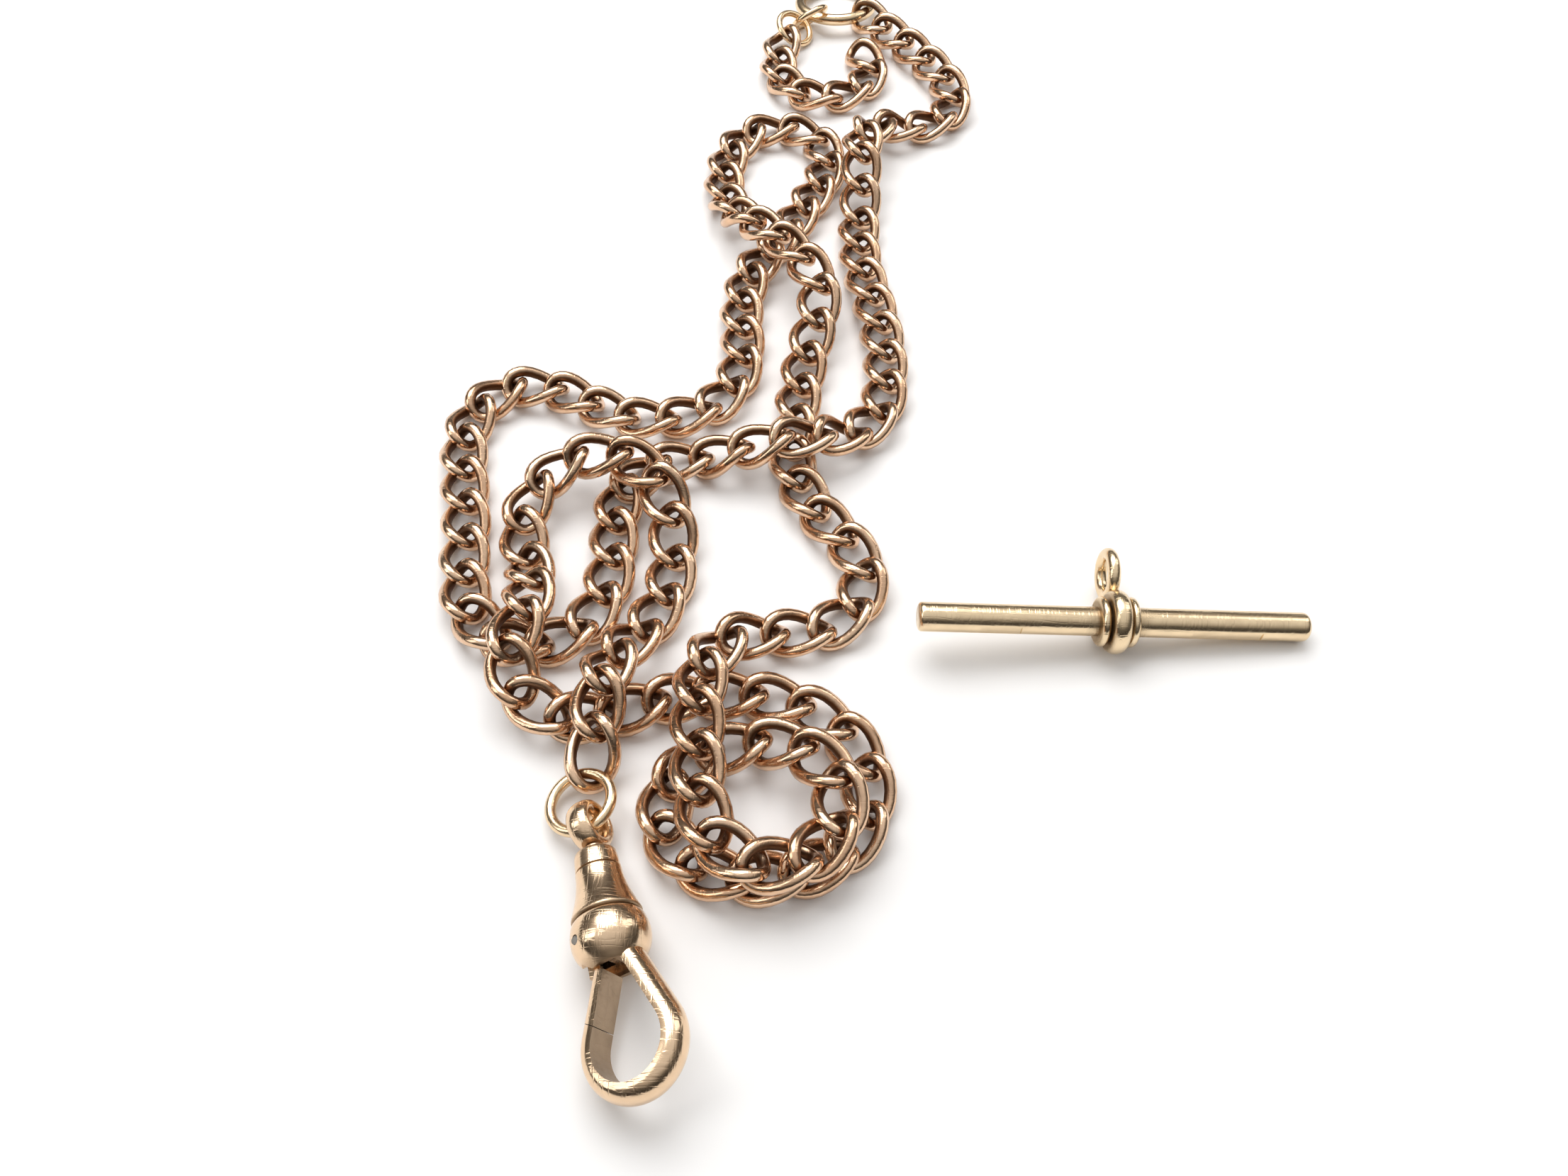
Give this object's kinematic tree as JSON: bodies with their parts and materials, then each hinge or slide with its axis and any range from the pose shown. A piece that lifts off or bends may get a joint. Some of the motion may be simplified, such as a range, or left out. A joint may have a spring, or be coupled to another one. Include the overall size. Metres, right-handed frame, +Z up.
{
  "type": "pocket watch chain",
  "caption": "Curb-link waistcoat watch chain laid in loops, with a swivel clip, an end ring with a short drop and a loose T-bar.",
  "frame": {"origin": "middle of the base of the whole layout, on the surface it lies on", "axes": "+Z up from the surface, +Y from the clip towards the end ring, +X towards the T-bar"},
  "size_m": [0.0806, 0.1442, 0.0067],
  "materials": {
    "rose_gold": "polished, with dark patina in the recesses",
    "yellow_gold": "polished",
    "pale_gold": "polished and worn",
    "spring_steel": "dull"
  },
  "bodies": {
    "laid_chain": {"chain_knot_left": "rose_gold", "chain_inner_fall": "rose_gold", "chain_pile_top_row": "rose_gold", "chain_pile_front": "rose_gold", "chain_pile_upper": "rose_gold", "chain_right_loop": "rose_gold", "chain_middle_rise": "rose_gold", "chain_diagonal": "rose_gold", "chain_top_loop": "rose_gold", "chain_left_rise": "rose_gold", "chain_upper_row": "rose_gold", "chain_left_loop_top": "rose_gold", "chain_left_loop_side": "rose_gold", "chain_second_rise": "rose_gold", "chain_lower_row": "rose_gold", "chain_right_rise": "rose_gold", "chain_top_lobe": "rose_gold", "drop_chain": "rose_gold"},
    "tail_link_1": {"tail_link_1": "rose_gold"},
    "tail_link_2": {"tail_link_2": "rose_gold"},
    "tail_link_3": {"tail_link_3": "rose_gold"},
    "tail_link_4": {"tail_link_4": "rose_gold"},
    "tail_link_5": {"tail_link_5": "rose_gold"},
    "tail_link_6": {"tail_link_6": "rose_gold"},
    "tail_link_7": {"tail_link_7": "rose_gold"},
    "tail_link_8": {"tail_link_8": "rose_gold"},
    "jump_ring": {"jump_ring": "yellow_gold"},
    "swivel": {"swivel_eye": "pale_gold", "swivel_stem": "pale_gold", "swivel_head": "pale_gold"},
    "clip_body": {"bell": "pale_gold", "gate_bulb": "pale_gold", "hook_bend": "pale_gold", "gate_pin": "spring_steel", "gate_spring": "spring_steel"},
    "gate": {"gate_arm": "pale_gold", "gate_knuckle": "pale_gold"},
    "drop_link_1": {"drop_link_1": "rose_gold"},
    "drop_link_2": {"drop_link_2": "rose_gold"},
    "drop_link_3": {"drop_link_3": "rose_gold"},
    "small_ring_inner": {"small_ring_inner": "yellow_gold"},
    "small_ring_outer": {"small_ring_outer": "yellow_gold"},
    "end_ring": {"end_ring": "yellow_gold"},
    "t_bar": {"bar": "yellow_gold", "collar_left": "yellow_gold", "collar_middle": "yellow_gold", "collar_right": "yellow_gold", "bar_eye": "yellow_gold"}
  },
  "joints": [
    {"name": "tail_link_8_lift", "type": "hinge", "parent": "laid_chain", "child": "tail_link_8", "pos_m": [-0.01858, -0.01495, 0.00395], "axis": [-0.9144, -0.4048, 0], "range_deg": [0, 12]},
    {"name": "tail_link_7_lift", "type": "hinge", "parent": "tail_link_8", "child": "tail_link_7", "pos_m": [-0.01698, -0.01858, 0.00258], "axis": [-0.9968, -0.0798, 0], "range_deg": [0, 12]},
    {"name": "tail_link_6_lift", "type": "hinge", "parent": "tail_link_7", "child": "tail_link_6", "pos_m": [-0.01665, -0.0226, 0.00143], "axis": [-0.9948, 0.1019, 0], "range_deg": [0, 12]},
    {"name": "tail_link_5_lift", "type": "hinge", "parent": "tail_link_6", "child": "tail_link_5", "pos_m": [-0.01708, -0.02678, 0.00137], "axis": [-0.9121, 0.4099, 0], "range_deg": [0, 12]},
    {"name": "tail_link_4_lift", "type": "hinge", "parent": "tail_link_5", "child": "tail_link_4", "pos_m": [-0.0188, -0.03061, 0.00158], "axis": [-0.8251, 0.565, 0], "range_deg": [0, 12]},
    {"name": "tail_link_3_lift", "type": "hinge", "parent": "tail_link_4", "child": "tail_link_3", "pos_m": [-0.02103, -0.03386, 0.00303], "axis": [-0.9683, 0.2498, 0], "range_deg": [0, 12]},
    {"name": "tail_link_2_lift", "type": "hinge", "parent": "tail_link_3", "child": "tail_link_2", "pos_m": [-0.022, -0.03764, 0.00457], "axis": [-0.9994, 0.0345, 0], "range_deg": [0, 12]},
    {"name": "tail_link_1_sway", "type": "hinge", "parent": "tail_link_2", "child": "tail_link_1", "pos_m": [-0.02215, -0.04177, 0.00378], "axis": [0, 0, -1], "range_deg": [0, 12]},
    {"name": "jump_ring_lift", "type": "hinge", "parent": "tail_link_1", "child": "jump_ring", "pos_m": [-0.02254, -0.0454, 0.00171], "axis": [-0.9662, 0.2577, 0], "range_deg": [0, 30]},
    {"name": "clip_lift", "type": "hinge", "parent": "jump_ring", "child": "swivel", "pos_m": [-0.02214, -0.05002, 0.00226], "axis": [-0.8271, -0.2605, -0.4981], "range_deg": [0, 30]},
    {"name": "clip_swivel", "type": "hinge", "parent": "swivel", "child": "clip_body", "pos_m": [-0.02118, -0.05368, 0.00259], "axis": [0.2511, -0.964, 0.0872], "continuous": true},
    {"name": "gate_hinge", "type": "hinge", "parent": "clip_body", "child": "gate", "pos_m": [-0.02095, -0.06028, 0.00245], "axis": [-0.444, -0.0347, 0.8954], "range_deg": [0, 18], "stiffness_Nm_per_rad": 0.002, "springref_deg": -11.46},
    {"name": "drop_link_1_lift", "type": "hinge", "parent": "laid_chain", "child": "drop_link_1", "pos_m": [-0.00062, 0.0467, 0.00141], "axis": [0.5008, -0.8655, 0], "range_deg": [0, 15]},
    {"name": "drop_link_2_lift", "type": "hinge", "parent": "drop_link_1", "child": "drop_link_2", "pos_m": [0.00302, 0.04881, 0.00141], "axis": [0.94, -0.3412, 0], "range_deg": [0, 15]},
    {"name": "drop_link_3_lift", "type": "hinge", "parent": "drop_link_2", "child": "drop_link_3", "pos_m": [0.00445, 0.05275, 0.00141], "axis": [0.9191, 0.394, 0], "range_deg": [0, 15]},
    {"name": "end_ring_turn", "type": "hinge", "parent": "laid_chain", "child": "end_ring", "pos_m": [0.0002, 0.06682, 0.00141], "axis": [0, 0.1253, 0.9921], "range_deg": [-60, 60]},
    {"name": "small_ring_inner_turn", "type": "hinge", "parent": "laid_chain", "child": "small_ring_inner", "pos_m": [-0.00519, 0.0608, 0.00171], "axis": [0.4788, -0.2522, 0.8409], "range_deg": [-60, 60]},
    {"name": "small_ring_outer_turn", "type": "hinge", "parent": "laid_chain", "child": "small_ring_outer", "pos_m": [-0.00324, 0.0627, 0.00211], "axis": [-0.4804, 0.6074, 0.6327], "range_deg": [-60, 60]},
    {"name": "t_bar_lift_off", "type": "slide", "parent": "laid_chain", "child": "t_bar", "axis": [0, 0, 1], "range_m": [0, 0.06]}
  ]
}
